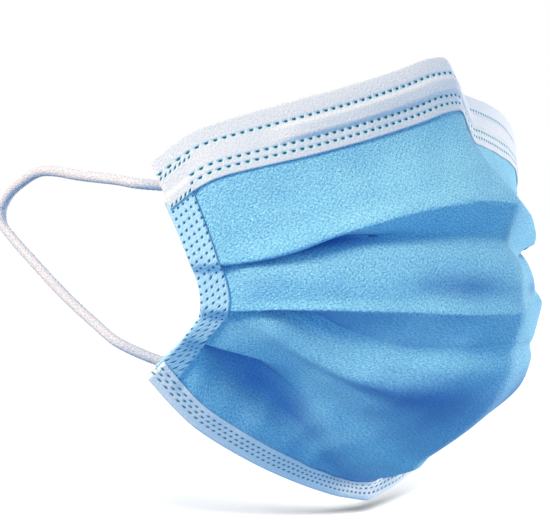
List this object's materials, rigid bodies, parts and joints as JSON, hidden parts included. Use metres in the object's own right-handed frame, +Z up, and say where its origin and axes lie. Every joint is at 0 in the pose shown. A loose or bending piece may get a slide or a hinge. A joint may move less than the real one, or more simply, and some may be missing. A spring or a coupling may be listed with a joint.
{
  "type": "surgical face mask",
  "caption": "Pleated disposable surgical face mask in its worn, opened form, with white nose and chin bands, light blue side tapes and elastic ear loops.",
  "frame": {"origin": "where the inside of the top edge rests on the bridge of the wearer's nose", "axes": "+X to the wearer's left, +Y to the back of the wearer's head, +Z up"},
  "size_m": [0.1489, 0.1353, 0.1276],
  "materials": {
    "blue_nonwoven": "matte",
    "white_nonwoven": "matte",
    "tape_nonwoven": "matte",
    "wire": "satin",
    "elastic": "matte"
  },
  "bodies": {
    "root": {"pleated_body": "blue_nonwoven", "nose_band": "white_nonwoven", "chin_band": "white_nonwoven", "nose_wire": "wire", "side_tape_right": "tape_nonwoven", "side_tape_left": "tape_nonwoven", "ear_loop_right": "elastic", "ear_loop_left": "elastic"}
  },
  "joints": []
}
